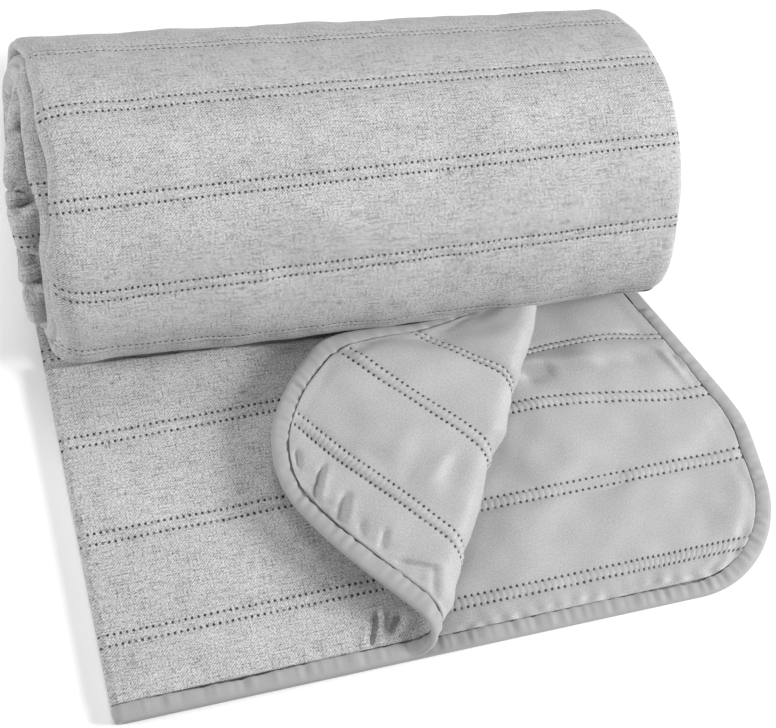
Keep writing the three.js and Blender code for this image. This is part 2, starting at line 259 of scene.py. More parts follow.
def pressed(points):
    """Cloth flattened under the roll: past a lip in front of the roll its height shrinks to a seventh."""
    x, y, z = np.moveaxis(points, -1, 0)
    lip = NIP_Y + NIP_SLOPE * (x - ORIGIN[0]) + NIP_VIEW * (z - UPPER_Z)
    down = NIP_PRESS * smooth(-1.2, 1.8, y - lip)
    return np.stack([x, y, z - down * np.maximum(z - LOWER_Z, 0)], -1)


def place(u, v, w):
    """The middle surface moved by w along its normal, the cross product of its two slopes; w > 0 is linen."""
    step = 0.05
    across = middle(u + step, v) - middle(u - step, v)
    along = middle(u, v + step) - middle(u, v - step)
    normal = np.cross(across, along)
    normal /= np.linalg.norm(normal, axis=-1, keepdims=True)
    return pressed(middle(u, v) + np.asarray(w)[..., None] * normal)


tip = place(*np.array([414.0, 40.0, -2.0]))
print("tip of the turned corner", np.round(tip, 1).tolist())

# %% [markdown]
# ## Quilting rows
#
# The layers are sewn together by pairs of stitch lines with a round needle hole at every stitch. A row
# number that is whole on each pair's middle line makes the pattern easy: near a pair it counts true
# millimetres, and between pairs it is stretched to fit. The mesh lines follow it, so the troughs and the
# holes get fine lines and the smooth channels get few. The same number goes into a UV map, so the
# material paints the shade of its holes exactly into the dimples of the mesh.

# %% Row numbers and mesh lines
ROW_FIRST, ROW_PITCH, ROW_GAP, ROW_COUNT = 53.4, 69.0, 7.4, 4
ROW_NEAR = 13.0
STITCH, LOWER_STITCH = 4.3, 4.7
NEAR_LINES = np.array([-13, -9, -6.6, -5.4, -4.5, -3.7, -2.9, -1.9, 0, 1.9, 2.9, 3.7, 4.5, 5.4, 6.6, 9, 13])
CHANNEL_PARTS = np.array([0.14, 0.32, 0.5, 0.68, 0.86])
FRONT_PARTS = np.linspace(0, 0.94, 17)
NIP_PARTS = np.linspace(0.04, 0.96, 28)
END_PARTS = np.array([0.3, 0.65, 1.0])
# How much nearer the bound end each pair lies on the lower layer, and on the turned-back corner, where it is
# a distance, its slope along u and the u that the slope starts from
ROW_BELOW = (22.4, 26.9, 30.8, 58.8)
ROW_TURNED = ((1.7, 0.06, 263), (9.6, 0.03, 310), (29.5, 0.11, 335), (34.0, 0.0, 0))


def row_places(u):
    """v of each pair's middle line across u, and the share of its width that the pair keeps.

    The lines are straight on top, askew below and bent on the turned corner. Where the cloth is drawn in
    towards the roll, two pairs keep about half of their width.
    """
    below, turned = smooth(0, 215, -u), smooth(200, 290, u)
    drop = 14 * smooth(350, 470, -u)
    arch = 9 * np.clip((-u - 400) / 75, -1.6, 1.6) ** 2
    centres = []
    for k, more in enumerate((0, 0, drop, arch)):
        distance, slope, start = ROW_TURNED[k]
        nearer = below * (ROW_BELOW[k] + more) + turned * (distance + slope * (u - start))
        centres.append(ROW_FIRST + k * ROW_PITCH - nearer)
    whole = 1 + 0 * u
    return np.array(centres), np.array([whole, whole, 1 - 0.45 * turned, 1 - 0.5 * below])


def sheet_lines(u):
    """v and row number of every mesh line at every u: true millimetres near a row, linear in between."""
    gap, last = ROW_NEAR / ROW_PITCH, ROW_COUNT - 1
    centres, squeeze = row_places(u)
    before, after = centres - ROW_NEAR * squeeze, centres + ROW_NEAR * squeeze
    groups = [(lerp(CLOTH_INSET, before[0], FRONT_PARTS[:, None]), lerp(-0.6, -gap, FRONT_PARTS))]
    for k in range(ROW_COUNT):
        groups.append((centres[k] + NEAR_LINES[:, None] * squeeze[k], k + NEAR_LINES / ROW_PITCH))
        if k < last:
            parts = NIP_PARTS if k == last - 1 else CHANNEL_PARTS
            between = lerp(after[k], before[k + 1], parts[:, None])
            groups.append((between, k + lerp(gap, 1 - gap, parts)))
    sheet_end = np.maximum(centres[last] + 30, SHEET_END)
    groups.append((lerp(after[last], sheet_end, END_PARTS[:, None]), last + lerp(gap, 0.55, END_PARTS)))
    v, number = (np.concatenate(column) for column in zip(*groups))
    return v, number[:, None] + 0 * u


print(len(sheet_lines(np.zeros(1))[0]), "lines along the loose end")

# %% Stitches and quilted relief
HOLE_DEEP, TROUGH_DEEP, RIDGE_SHARE = 0.8, 0.25, 0.12
HOLE_SPREAD, TROUGH_SPREAD = 1.1, 1.5
FACE_SHOULDER = 11.0


def stitch_count(u, v):
    """Stitches from the left fold: u over the stitch length, drawn out with the turned-back corner."""
    start, _, length = curl_at(v)
    done = start + length - FOLD_R + BEND
    on_top = np.minimum(u, done) + np.maximum(u - done, 0) * flap_spread(v)
    return np.where(u < 0, u / LOWER_STITCH, on_top / STITCH)


def quilt_relief(number, stitch, puff, bars, shoulder):
    """Height of quilted cloth between its stitches.

    A puff between pairs that rises over a shoulder, a ridge inside a pair that is barred between the holes, a
    trough along each line and a dimple at each hole.
    """
    d = (number + 0.5 - np.floor(number + 0.5) - 0.5) * ROW_PITCH
    off = np.abs(d) - ROW_GAP / 2
    bar = 0.5 - 0.5 * np.cos(2 * np.pi * (stitch - 0.5))
    ridge = (RIDGE_SHARE + bars * bar) * (1 - (2 * d / ROW_GAP) ** 2)
    crown = np.where(off > 0, 1 - np.exp(-((off / shoulder) ** 1.5)), ridge)
    line = np.exp(-((off / TROUGH_SPREAD) ** 2))
    dot = np.exp(-((off / HOLE_SPREAD) ** 2)) * (1 - bar) ** 2
    return puff * crown - TROUGH_DEEP * line - HOLE_DEEP * dot


print("a puff rises to", round(float(quilt_relief(0.5, 0.0, 1.0, 0.1, FACE_SHOULDER)), 2), "of its height")

# %% [markdown]
# ## Finishes
#
# The linen is a matt weave of light and dark yarns: short dark slubs run along both yarns over a fine
# grain and faint slanting lines. The lining is a smooth cloth with a soft sheen and broad patches of random
# tone and painted sheen, and the tape is like it, drawn darker as painted shade, with shade painted into
# tucks along its seam. Linen and lining carry the same needle holes with painted shade in them, so one
# group of nodes draws them from the stitch map. All patterns read the cloth's own UV map, in metres, so
# they follow every fold.

# %% Node helpers
HOLE_R = 1.0


def maths(tree, operation, a, b=None, c=None):
    """One maths node; each input is a number or the output of another node."""
    node = tree.nodes.new("ShaderNodeMath")
    node.operation = operation
    for socket, value in zip(node.inputs, (a, b, c)):
        if isinstance(value, (int, float)):
            socket.default_value = value
        elif value is not None:
            tree.links.new(value, socket)
    return node.outputs[0]


def uv_vector(tree, name, scale=(1, 1, 1), turn=0.0):
    """The named UV map, scaled and turned about Z."""
    uv = tree.nodes.new("ShaderNodeUVMap")
    uv.uv_map = name
    mapping = tree.nodes.new("ShaderNodeMapping")
    mapping.inputs["Scale"].default_value = scale
    mapping.inputs["Rotation"].default_value = (0, 0, turn)
    tree.links.new(uv.outputs["UV"], mapping.inputs["Vector"])
    return mapping.outputs["Vector"]


def split(tree, vector):
    """The outputs X, Y and Z of a vector."""
    parts = tree.nodes.new("ShaderNodeSeparateXYZ")
    tree.links.new(vector, parts.inputs[0])
    return parts.outputs


def noise(tree, grains, detail=2.0, rough=0.5, map_name="cloth"):
    """A noise texture's grey value, about 0.5 on average, with so many grains a unit each way of the map."""
    node = tree.nodes.new("ShaderNodeTexNoise")
    node.noise_dimensions = "2D"
    node.inputs["Scale"].default_value = 1.0
    node.inputs["Detail"].default_value = detail
    node.inputs["Roughness"].default_value = rough
    tree.links.new(uv_vector(tree, map_name, (*grains, 1)), node.inputs["Vector"])
    return node.outputs[0]


def add(tree, value, part, amount):
    """value + amount x part."""
    return maths(tree, "MULTIPLY_ADD", part, amount, value)


def vary(tree, value, grey, amount):
    """value + amount x (grey - 0.5), so the average stays."""
    return add(tree, value, maths(tree, "SUBTRACT", grey, 0.5), amount)


def darken(tree, value, mask, amount):
    """value x (1 - amount x mask)."""
    return maths(tree, "MULTIPLY", value, maths(tree, "MULTIPLY_ADD", mask, -amount, 1.0))


def ramp(tree, value, low, high):
    """0 below low, 1 above high, smooth in between."""
    node = tree.nodes.new("ShaderNodeMapRange")
    node.interpolation_type = "SMOOTHSTEP"
    node.inputs["From Min"].default_value = low
    node.inputs["From Max"].default_value = high
    tree.links.new(value, node.inputs["Value"])
    return node.outputs[0]


def needle_holes(tree):
    """1 in each needle hole, where shade is painted and the bump dents: the distance to the nearest stitch
    point of the nearest line, cut at HOLE_R.
    """
    parts = split(tree, uv_vector(tree, "stitch"))
    row = maths(tree, "FRACT", maths(tree, "ADD", parts["Y"], 0.5))
    off = maths(tree, "MULTIPLY", maths(tree, "SUBTRACT", row, 0.5), ROW_PITCH)
    off = maths(tree, "SUBTRACT", maths(tree, "ABSOLUTE", off), ROW_GAP / 2)
    point = maths(tree, "SUBTRACT", maths(tree, "FRACT", parts["X"]), 0.5)
    point = maths(tree, "MULTIPLY", point, STITCH)
    far = maths(tree, "POWER", off, 2.0)
    far = maths(tree, "SQRT", maths(tree, "ADD", far, maths(tree, "POWER", point, 2.0)))
    hole = maths(tree, "SUBTRACT", 1.0, ramp(tree, far, HOLE_R * 0.5, HOLE_R * 1.3))
    uneven = noise(tree, (0.9, 3.0), 1.0, map_name="stitch")
    depth = maths(tree, "MULTIPLY_ADD", ramp(tree, uneven, 0.25, 0.55), 0.4, 0.6)
    return maths(tree, "MULTIPLY", hole, depth)


def cloth_material(name, roughness, sheen):
    """A new material with its shader, ready for colour and bump."""
    material = bpy.data.materials.new(name)
    material.use_nodes = True
    shader = material.node_tree.nodes["Principled BSDF"]
    shader.inputs["Roughness"].default_value = roughness
    shader.inputs["Sheen Weight"].default_value = sheen
    shader.inputs["Sheen Roughness"].default_value = 0.5
    shader.inputs["Specular IOR Level"].default_value = 0.2
    return material, material.node_tree, shader


def finish_cloth(tree, shader, value, base, height, distance):
    """Links the grey value x base to the colour and a height to a bump."""
    grey = maths(tree, "MULTIPLY", value, base)
    colour = tree.nodes.new("ShaderNodeCombineColor")
    for socket in colour.inputs[:3]:
        tree.links.new(grey, socket)
    tree.links.new(colour.outputs[0], shader.inputs["Base Color"])
    bump = tree.nodes.new("ShaderNodeBump")
    bump.inputs["Distance"].default_value = distance
    tree.links.new(height, bump.inputs["Height"])
    tree.links.new(bump.outputs["Normal"], shader.inputs["Normal"])


print("needle holes", 2 * HOLE_R, "mm wide")

# %% Linen
# The hole constant is painted shade: the share by which the cloth is drawn darker in its needle holes
LINEN_GREY, HOLE_SHADE = 0.404, 0.93
TWILL_PER_M, TWILL_ANGLE = 720, np.radians(45)
# Grains a metre across and along the cloth
GRAIN, WEFT_SLUB, WARP_SLUB, WORN, PATCH = (760, 860), (75, 850), (850, 90), (300, 300), (22, 40)


def make_linen():
    """Grey = base x (1 + grain + patches + twill lines - slubs along both yarns), with shade painted into the
    holes.
    """
    material, tree, shader = cloth_material("linen", 0.92, 0.1)
    grain = noise(tree, GRAIN, 1.0)
    weft = noise(tree, WEFT_SLUB, 1.0, 0.6)
    warp = noise(tree, WARP_SLUB, 1.0, 0.6)
    patch = noise(tree, PATCH, 3.0, 0.6)
    worn = noise(tree, WORN, 2.0, 0.6)
    across = split(tree, uv_vector(tree, "cloth", turn=TWILL_ANGLE))["X"]
    twill = maths(tree, "SINE", maths(tree, "MULTIPLY", across, 2 * np.pi * TWILL_PER_M))
    twill = maths(tree, "MULTIPLY", twill, ramp(tree, worn, 0.1, 0.6))
    value = vary(tree, 1.0, grain, 1.3)
    value = vary(tree, value, patch, 0.25)
    value = add(tree, value, twill, 0.22)
    value = add(tree, value, ramp(tree, weft, 0.54, 0.72), -0.23)
    value = add(tree, value, ramp(tree, weft, 0.44, 0.28), 0.08)
    value = add(tree, value, ramp(tree, warp, 0.54, 0.72), -0.2)
    holes = needle_holes(tree)
    # Painted shade in the needle holes
    value = darken(tree, value, holes, HOLE_SHADE)
    height = add(tree, maths(tree, "MULTIPLY", weft, 0.25), grain, 0.12)
    height = add(tree, height, twill, 0.03)
    height = add(tree, height, holes, -1.5)
    finish_cloth(tree, shader, value, LINEN_GREY, height, 0.0004)
    return material


linen = make_linen()
print(linen.name, len(linen.node_tree.nodes), "nodes")

# %% Lining and tape
# The satin's broad patches are random tone and painted sheen
SATIN_GREY, SATIN_GRAIN, SATIN_TONE_AND_SHEEN = 0.352, (950, 950), (30, 30)
# The tape is lining cloth; its grey is set below the lining's as painted shade
TAPE_SHADED_GREY, TAPE_GRAIN, TUCK_SHADE_GRAINS, TAPE_SEAM = 0.305, (1500, 1500), (130, 60), 0.015


def make_satin():
    """Grey = base x (1 + fine grain + broad patches of random tone and painted sheen), with painted shade in
    the needle holes.
    """
    material, tree, shader = cloth_material("satin", 0.5, 0.15)
    # Broad patches: random tone and painted sheen
    grain, patch = noise(tree, SATIN_GRAIN), noise(tree, SATIN_TONE_AND_SHEEN, 3.0)
    value = vary(tree, vary(tree, 1.0, grain, 0.6), patch, 0.25)
    holes = needle_holes(tree)
    # Painted shade in the needle holes
    value = darken(tree, value, holes, HOLE_SHADE)
    height = add(tree, maths(tree, "MULTIPLY", grain, 0.3), holes, -1.5)
    finish_cloth(tree, shader, value, SATIN_GREY, height, 0.0003)
    return material


def make_tape():
    """Grey = base x (1 + fine grain), with shade painted into tucks here and there along the sewn side of the
    tape.
    """
    material, tree, shader = cloth_material("tape", 0.55, 0.15)
    grain = noise(tree, TAPE_GRAIN, 1.0)
    across = split(tree, uv_vector(tree, "cloth"))["Y"]
    off = maths(tree, "ABSOLUTE", maths(tree, "SUBTRACT", across, TAPE_SEAM))
    sewn = maths(tree, "SUBTRACT", 1.0, ramp(tree, off, 0.0012, 0.003))
    # Shade painted in patches into the tucks along the seam
    tuck_shade = maths(tree, "MULTIPLY", sewn, ramp(tree, noise(tree, TUCK_SHADE_GRAINS, 1.0), 0.38, 0.56))
    value = darken(tree, vary(tree, 1.0, grain, 0.25), tuck_shade, 0.7)
    height = maths(tree, "MULTIPLY", grain, 0.3)
    finish_cloth(tree, shader, value, TAPE_SHADED_GREY, height, 0.0003)
    return material


satin, tape_cloth = make_satin(), make_tape()
print(satin.name, tape_cloth.name)

# %% [markdown]
# ## The loose end
#
# Two cloths lie on the middle surface, the linen on one side and the lining on the other. Each is a thin
# slab: its outer grid carries the quilted relief, its inner grid is plain. Columns are a third of a
# stitch apart where the cloth shows, so each needle hole gets its own dimple, and wide apart where it is
# hidden.

# %% Columns and edge distance
CORNER_EASE = 45.0
SHOWN_LINEN, SHOWN_LINING = [(0, 330)], [(-480, -190), (200, 420)]


def columns(dense):
    """Column places from edge to edge: a third of a stitch apart where dense, and 13 mm or so elsewhere."""
    low, high = CLOTH_INSET - LOWER_W, UPPER_W - CLOTH_INSET
    below = np.arange(np.ceil(low * 3 / LOWER_STITCH), 0) * LOWER_STITCH / 3
    fine = np.concatenate([below, np.arange(0, np.floor(high * 3 / STITCH) + 1) * STITCH / 3])
    shown = np.zeros(len(fine), bool)
    for a, b in dense:
        shown |= (fine >= a) & (fine <= b)
    keep = shown | (np.arange(len(fine)) % 9 == 0)
    bends = np.linspace(-BEND, BEND, 7)
    return np.unique(np.round(np.concatenate([[low], fine[keep], bends, [high]]), 3))


def corner_squeeze(u, v):
    """u drawn in to follow the rounded corners: the last stretch before the edge shrinks to fit the round."""
    full = np.where(u < 0, LOWER_W, UPPER_W)
    centre = np.maximum(CORNER_R - v, 0.0)
    room = np.sqrt(np.maximum((CORNER_R - CLOTH_INSET) ** 2 - centre ** 2, 0.0))
    edge = full - CORNER_R + room
    start = full - CORNER_R - CORNER_EASE
    past = np.maximum(np.abs(u) - start, 0.0)
    scale = (edge - start) / (full - CLOTH_INSET - start)
    return np.sign(u) * (np.minimum(np.abs(u), start) + past * scale)


def edge_distance(u, v):
    """Distance in from the bound edge, a straight side, a straight front and a round corner between them."""
    side = np.abs(u) - (np.where(u < 0, LOWER_W, UPPER_W) - CORNER_R)
    front = CORNER_R - v
    round_part = np.hypot(np.maximum(side, 0), np.maximum(front, 0))
    return np.where((side > 0) & (front > 0), CORNER_R - round_part, CORNER_R - np.maximum(side, front))


print(len(columns(SHOWN_LINEN)), "columns of linen,", len(columns(SHOWN_LINING)), "of lining")

# %% Creases, listed one by one
# u, v of both ends, width and height of each crease
FACE_CREASES = (
    (183, 32, 175.5, 15, 2.0, -7.5),
    (186.5, 33, 179.5, 15, 2.6, 2.6),
    (190.5, 20, 199, 28, 2.8, -4.0),
    (203, 48, 214, 62, 3.0, -1.6),
    (169, 16, 175, 29, 2.6, 1.6),
)
LINING_CREASES = (
    (385, 27, 376, 21, 2.0, -1.6),
    (364, 31, 352, 16, 2.0, -2.2),
    (360, 31, 347, 16, 3.0, 1.2),
    (340, 29, 329, 16, 3.2, -2.0),
    (334, 29, 322, 16, 3.0, 1.0),
    (303.5, 27, 295, 17, 2.4, -1.8),
    (281, 16, 263, 26, 2.2, -1.8),
    (278, 20, 262, 30, 3.2, 1.4),
    (262, 27, 248, 14, 2.4, -1.2),
    (318, 22, 310, 15, 2.4, -1.2),
    (354, 59, 331, 57.5, 5.0, -1.2),
    (316, 92, 309, 70, 4.5, 1.6),
    (308, 92, 295, 73, 4.5, -1.4),
    (332.5, 68, 319, 60, 4.5, -1.2),
    (331, 85, 322, 68, 5.0, -1.3),
    (345, 88, 338, 70, 6.0, 1.0),
    (-427, 57, -462, 60, 2.6, -1.8),
    (-430, 61, -462, 65, 3.0, 1.2),
    (-447, 71, -468, 72.5, 2.2, -1.2),
    (-459, 119.5, -474, 119.5, 2.2, -1.2),
    (-423, 43, -459, 40, 3.2, -0.9),
    (-462, 182, -464, 163, 3.2, 1.8),
    (-470, 182, -473, 161, 2.4, -1.6),
    (-413, 182, -444, 179, 6.0, -1.8),
    (-351, 180, -373, 183, 6.0, -1.6),
    (-303, 93, -366, 103, 9.0, -1.0),
    (-392, 90, -436, 105, 8.0, -0.9),
    (-300, 200, -420, 182, 7.0, 2.2),
    (-340, 228, -430, 214, 8.0, 2.4),
)


def creases(u, v, table):
    """Sum of soft ridges and troughs, each a bell across its own straight line and faded at both ends."""
    total = np.zeros_like(u)
    for u0, v0, u1, v1, width, height in table:
        du, dv = u1 - u0, v1 - v0
        t = ((u - u0) * du + (v - v0) * dv) / (du * du + dv * dv)
        off = ((u - u0) * dv - (v - v0) * du) / np.hypot(du, dv)
        fade = np.exp(-(np.maximum(np.abs(t - 0.5) - 0.3, 0) / 0.3) ** 2)
        total = total + height * np.exp(-((off / width) ** 2)) * fade
    return total


print(len(FACE_CREASES) + len(LINING_CREASES), "creases")

# %% Build the linen and the lining of the loose end
LINEN_LOOK = dict(side=1, thick=FACE_T, puff=2.2, bars=0.1, shoulder=FACE_SHOULDER, pucker=0.22, slack=1.0)
LINING_LOOK = dict(side=-1, thick=LINING_T, puff=1.8, bars=0.6, shoulder=7.5, pucker=0.4, slack=1.6)


def loose_cloth(name, material, dense, crease_table, side, thick, puff, bars, shoulder, pucker, slack):
    """One cloth of the loose end: a slab between a relief grid and a plain grid on one side of the middle.

    It is a little puckered by the bound edge, uneven elsewhere, and plain where other cloth lies on it.
    """
    u0 = columns(dense)
    v, number = sheet_lines(u0)
    u = corner_squeeze(u0 + 0 * v, v)
    inward = edge_distance(u, v) - CLOTH_INSET
    near_edge = smooth(-0.5, 14, inward)
    start, _, length = curl_at(v)
    under_flap = smooth(0.2, 1.0, (u - start) / length)
    if side > 0:
        shown = smooth(4, 30, u) * (1 - under_flap)
    else:
        shown = np.maximum(smooth(12, 60, -u), smooth(4, 30, u))
    stitch = stitch_count(u0 + 0 * v, v)
    relief = quilt_relief(number, stitch, puff * (0.25 + 0.75 * near_edge), bars, shoulder)
    puckered = pucker * soft_noise(u, v, 10, 3) * np.exp(-((inward / 10) ** 2))
    uneven = 0.45 * soft_noise(u, v, 55, 11) + 0.22 * soft_noise(u, v, 24, 12)
    wrinkled = creases(u, v, crease_table) * smooth(-0.5, 5, inward)
    height = relief + puckered + slack * (uneven * near_edge + wrinkled)
    outer = place(u, v, side * (PIECE_GAP / 2 + thick + height * shown))
    inner = place(u, v, side * PIECE_GAP / 2 + 0 * u)
    near, far = (outer, inner) if side > 0 else (inner, outer)
    points = np.concatenate([near.reshape(-1, 3), far.reshape(-1, 3)])
    cloth_uv = np.stack([u, v], -1).reshape(-1, 2) * MM
    stitch_uv = np.stack([stitch, number], -1).reshape(-1, 2)
    maps = {"cloth": np.tile(cloth_uv, (2, 1)), "stitch": np.tile(stitch_uv, (2, 1))}
    return new_piece(name, points, slab_quads(*u.shape), maps, material)


loose_linen = loose_cloth("loose_end_linen", linen, SHOWN_LINEN, FACE_CREASES, **LINEN_LOOK)
loose_lining = loose_cloth("loose_end_lining", satin, SHOWN_LINING, LINING_CREASES, **LINING_LOOK)

# %% [markdown]
# ## The bound edge
#
# A tape of lining cloth is folded over the raw edge and sewn down along its inner side. It is a rounded
# flat profile carried along the edge, round both corners, over the left fold and over the curl. Between
# its stitches the tape puckers, so its thickness and its inner side waver along the path.

# %% Path of the bound edge
TAPE_STEP = 1.4


def edge_path():
    """u, v and inward direction at even steps along the bound edge, from the lower layer to the upper one."""
    quarter = CORNER_R * np.pi / 2
    runs = [SHEET_END - CORNER_R, quarter, LOWER_W + UPPER_W - 2 * CORNER_R, quarter, SHEET_END - CORNER_R]
    ends = np.cumsum([0] + runs)
    s = np.linspace(0, ends[-1], int(ends[-1] / TAPE_STEP))
    on_side, low, on_front, up, on_last = (np.clip(s - end, 0, run) for end, run in zip(ends, runs))
    low_turn, up_turn = low / CORNER_R, up / CORNER_R
    u = -(LOWER_W - CORNER_R) - CORNER_R * np.cos(low_turn) + on_front + CORNER_R * np.sin(up_turn)
    v = SHEET_END - on_side - CORNER_R * np.sin(low_turn) + CORNER_R * (1 - np.cos(up_turn)) + on_last
    inward_u = np.cos(low_turn) - np.sin(up_turn)
    inward_v = np.sin(low_turn) * np.cos(up_turn)
    return s, u, v, inward_u, inward_v


s, edge_u, edge_v, inward_u, inward_v = (run[:, None] for run in edge_path())
print("bound edge", round(float(s[-1, 0])), "mm long")

# %% Build the bound edge
# Half profile from the outer edge inwards: share of the width, share of the half thickness
TAPE_PROFILE = np.array([
    (0, 0), (0.03, 0.42), (0.12, 0.76), (0.3, 0.97), (0.52, 1.05),
    (0.72, 0.97), (0.86, 0.8), (0.94, 0.58), (1, 0.4),
])
across, lift = TAPE_PROFILE.T
across = np.concatenate([across, across[::-1]])
lift = np.concatenate([-lift, lift[::-1]])
pucker = 0.6 * soft_noise(s, 0, 9, 5) + 0.3 * soft_noise(s, 0, 5, 6)
sewn_side = np.exp(-(((across - 0.7) / 0.4) ** 2))
ripple = 1 + 0.32 * pucker * sewn_side + 0.06 * soft_noise(s, 0, 35, 9)
waver = 0.025 * pucker * (across > 0.8) + 0.03 * soft_noise(s, 0, 90, 21) * (across > 0.5)
inward = across * TAPE_W * (1 + waver)
points = place(edge_u + inward_u * inward, edge_v + inward_v * inward, lift * TAPE_T / 2 * ripple + 0.05)
# The tape lies on the floor, not in it
points[..., 2] = np.maximum(points[..., 2], 0.0)
tape_uv = np.stack([s + 0 * across, np.linspace(0, 30, len(across)) + 0 * s], -1) * MM
binding = new_piece("bound_edge", points, tube_quads(*points.shape[:2]), {"cloth": tape_uv}, tape_cloth)

# %% [markdown]
# ## The roll
#
# The doubled cloth is wound from its far end, so the roll is a spiral of a thick soft band: its left edge
# is the rounded fold and its right edge is two bound edges. The outer turn is modelled finely, because it
# shows. Its section has sunk under its own weight: low and round above, with a steep front that turns
# under in a tight corner. The roll lies a little askew, gets thinner to the right and draws in at the
# left end. One function gives any point from x along the roll, the angle round it and the depth under the
# outer skin.

# %% Shape of the roll
ROLL_MID_X, ROLL_Y = ORIGIN[:2]
ROLL_SLOPE = -0.0627
ROLL_HALF_W, ROLL_AXIS_Z, ROLL_TOP_H = 117.0, 46.7, 115.2
ROLL_TOP_POWER, ROLL_FRONT_POWER, ROLL_BACK_POWER = 1.72, 3.8, 2.6
ROLL_LEAN, ROLL_TAPER = -0.089, 0.00023
ROLL_ROWS = np.array([-1.6, 32.8, 66.9, 99.6, 131.4, 164, 200, 236])
ROLL_SLANT = np.array([-0.030, 0.008, 0.010, 0.012, 0.001, 0, 0, 0])
ROLL_BEND = np.array([0, 4.5, -0.5, -1.6, -1.2, 0, 0, 0])
ROLL_SIZE = 112.0
TURN_PITCH, BAND = 12.0, 11.0
NIP_START, NIP_END = -30.0, -76.0
ROUND_END = NIP_END + 360
FLOOR_SLACK = 0.35


def roll_radius(angle):
    """Superellipse: one over the root of (cos / half width) to the power plus (sin / height) to the power.

    The power and the height differ above the axis, low in front and low at the back.
    """
    t = np.radians(angle)
    above = np.sin(t) > 0
    low_power = np.where(np.cos(t) > 0, ROLL_FRONT_POWER, ROLL_BACK_POWER)
    power = np.where(above, ROLL_TOP_POWER, low_power)
    flat = np.abs(np.cos(t)) / ROLL_HALF_W
    tall = np.abs(np.sin(t)) / np.where(above, ROLL_TOP_H, ROLL_AXIS_Z)
    return (flat ** power + tall ** power) ** (-1 / power)


def wrap(angle):
    """The angle between -76 and 284 degrees, where 0 is the front, 90 the top and 270 the floor."""
    return (angle - NIP_END) % 360 + NIP_END


def left_rim(angle):
    """x of the roll's left end: further left low down and at the back."""
    up = 9 * smooth(-50, -5, angle) + 11 * smooth(25, 95, angle)
    return -3 + up - 20 * smooth(150, 240, angle)


def right_rim(angle):
    """x of the roll's right end."""
    return 434 + 3 * smooth(20, 70, angle) - 3 * smooth(180, 250, angle)


def left_taper(x, angle):
    """How far the cloth draws in at the left end, most in front, and along the left half low in front."""
    depth = lerp(6.5, 2.5, smooth(25, 75, angle)) - 2.2 * smooth(100, 128, angle)
    low = 4.5 * (1 - smooth(-15, 15, angle)) * (1 - smooth(40, 190, x))
    return depth * (1 - smooth(-4, 20, x - left_rim(angle))) ** 1.5 + low


def roll_point(x, angle, depth, raised):
    """Skin radius less the depth, shrunk by the tapers, on the slanting axis, leant, and above the floor."""
    spot = wrap(angle)
    t = np.radians(spot)
    thin = 1 - ROLL_TAPER * (x - ROLL_MID_X)
    drawn_in = (1 - depth / ROLL_SIZE) * (1 - left_taper(x, spot) / ROLL_SIZE)
    r = roll_radius(spot) * thin * drawn_in + raised
    up = r * np.sin(t)
    y = ROLL_Y + ROLL_SLOPE * (x - ROLL_MID_X) - r * np.cos(t) + ROLL_LEAN * up
    z = np.maximum(ROLL_AXIS_Z * thin + up, FLOOR_SLACK * depth)
    return np.stack([x + 0 * r, y, z], -1)


print("roll section", np.round(roll_radius(np.array([0.0, 45.0, 90.0, 180.0])), 1).tolist())

# %% Mesh lines round the outer turn
ROLL_STITCH = 4.0
NIP_LINES = 20


def into_nip(angle):
    """Depth gained where a turn of the band dives under the next one at the floor: one turn's pitch."""
    return TURN_PITCH * smooth(0, 1, (NIP_START - angle) / (NIP_START - NIP_END))


def roll_lines():
    """Angle at the roll's middle, tilt along x, bend at the left end and row number of every mesh line."""
    near = ROW_NEAR / np.radians(1) / roll_radius(ROLL_ROWS)
    before, after = ROLL_ROWS - near, ROLL_ROWS + near
    gap, last = ROW_NEAR / ROW_PITCH, len(ROLL_ROWS) - 1
    still, level = np.zeros(NIP_LINES), np.ones(len(NEAR_LINES))
    first_lines = np.linspace(NIP_END, before[0] - 2, NIP_LINES)
    last_lines = np.linspace(after[last] + 2, ROUND_END - 0.1, NIP_LINES)
    groups = [(first_lines, still, still, np.linspace(-0.7, -gap - 0.05, NIP_LINES))]
    for k in range(last + 1):
        lines = ROLL_ROWS[k] + NEAR_LINES / ROW_NEAR * near[k]
        groups.append((lines, ROLL_SLANT[k] * level, ROLL_BEND[k] * level, k + NEAR_LINES / ROW_PITCH))
        if k < last:
            angles, rows = (after[k], before[k + 1]), (k + gap, k + 1 - gap)
            ends = (angles, ROLL_SLANT[k:k + 2], ROLL_BEND[k:k + 2], rows)
            groups.append([lerp(low, high, CHANNEL_PARTS) for low, high in ends])
    groups.append((last_lines, still, still, last + np.linspace(gap + 0.05, 0.7, NIP_LINES)))
    return tuple(np.concatenate(column) for column in zip(*groups))


print(len(roll_lines()[0]), "lines round the roll")

# %% The doubled band
HALF_BAND = BAND / 2
FOLD_STEPS = np.linspace(0, np.pi, 12)[1:-1]
INSIDE_X = np.array([8.0, 20, 60, 140, 260, 340])
BEND_REACH = 10.0
# Right ends, as distance from the end and depth: a rounded tuck, and the two bound layers
TUCKED_END = np.array([
    (-16, 11), (-10, 10.2), (-5.5, 8.6), (-2.2, 6.6), (-0.5, 4.6), (0, 2.9), (-1.2, 1.4), (-4.2, 0.35),
])
BOUND_END = np.array([(-8, 11), (-1, 10.4), (0, 9), (0, 7), (-6, 5.8), (-6, 5.2), (0, 4), (0, 2), (-1, 0.6)])


